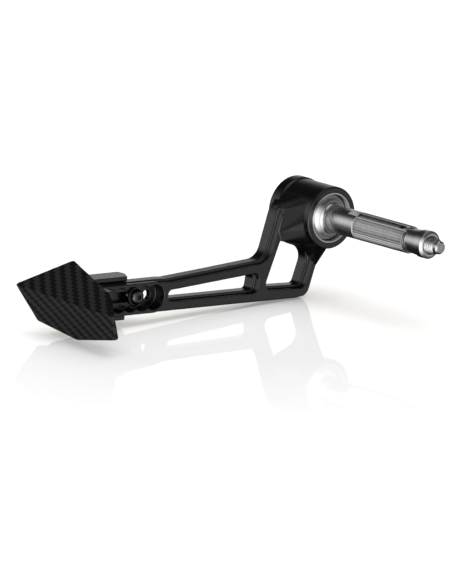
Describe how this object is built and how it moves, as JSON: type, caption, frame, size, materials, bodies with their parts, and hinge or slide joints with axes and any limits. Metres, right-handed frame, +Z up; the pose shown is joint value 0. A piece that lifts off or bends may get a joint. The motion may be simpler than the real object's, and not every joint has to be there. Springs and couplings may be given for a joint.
{
  "type": "brake lever guard",
  "caption": "Motorcycle brake lever guard: black alloy arm on an expanding handlebar plug, with a sliding carrier that holds a folded twill carbon blade.",
  "frame": {"origin": "centre of the hub's inboard face, on the plug's axis, where the face meets the end of the handlebar", "axes": "-Y along the plug, into the handlebar; -X along the arm, towards the blade; +Z up"},
  "size_m": [0.1798, 0.1205, 0.0582],
  "materials": {
    "black_anodised": "milled and fine-blasted, satin black anodised",
    "turned_alloy": "bare turned aluminium with fine tool marks",
    "plated_steel": "zinc plated, semi-bright",
    "black_steel": "black oxide, lightly oiled",
    "white_polymer": "plain acetal",
    "twill_carbon": "2 by 2 twill carbon laminate under a satin clear coat"
  },
  "bodies": {
    "plug": {"bar_end_adapter": "turned_alloy"},
    "arm": {"guard_arm": "black_anodised", "hub_bush": "turned_alloy", "thrust_washer": "white_polymer", "bolt_washer": "plated_steel"},
    "bolt": {"clamp_bolt": "plated_steel"},
    "cone": {"expander_cone": "turned_alloy"},
    "carrier": {"blade_carrier": "black_anodised", "reach_screw_insert": "plated_steel", "reach_washer": "black_steel", "carbon_blade": "twill_carbon", "blade_boss_outer": "turned_alloy", "blade_boss_inner": "turned_alloy", "blade_washer_outer": "plated_steel", "blade_washer_inner": "plated_steel", "blade_screw_outer": "plated_steel", "blade_screw_inner": "plated_steel"},
    "reach_fastener": {"reach_screw": "black_steel"}
  },
  "joints": [
    {"name": "arm_angle", "type": "hinge", "parent": "plug", "child": "arm", "pos_m": [0, 0, 0], "axis": [0, -1, 0], "continuous": true},
    {"name": "bolt_turn", "type": "hinge", "parent": "plug", "child": "bolt", "pos_m": [0, 0.013, 0], "axis": [0, -1, 0], "range_deg": [-864, 288]},
    {"name": "cone_travel", "type": "slide", "parent": "plug", "child": "cone", "axis": [0, 1, 0], "range_m": [-0.0031, 0.0011]},
    {"name": "reach_slide", "type": "slide", "parent": "arm", "child": "carrier", "axis": [-0.9986, 0, 0.0523], "range_m": [0, 0.0225]},
    {"name": "reach_screw_turn", "type": "hinge", "parent": "carrier", "child": "reach_fastener", "pos_m": [-0.10593, 0.0206, -0.02899], "axis": [0, 1, 0], "range_deg": [-1080, 0]}
  ],
  "couplings": [
    {"joint": "cone_travel", "follows": "bolt_turn", "m_per_rad": 0.00019894}
  ]
}
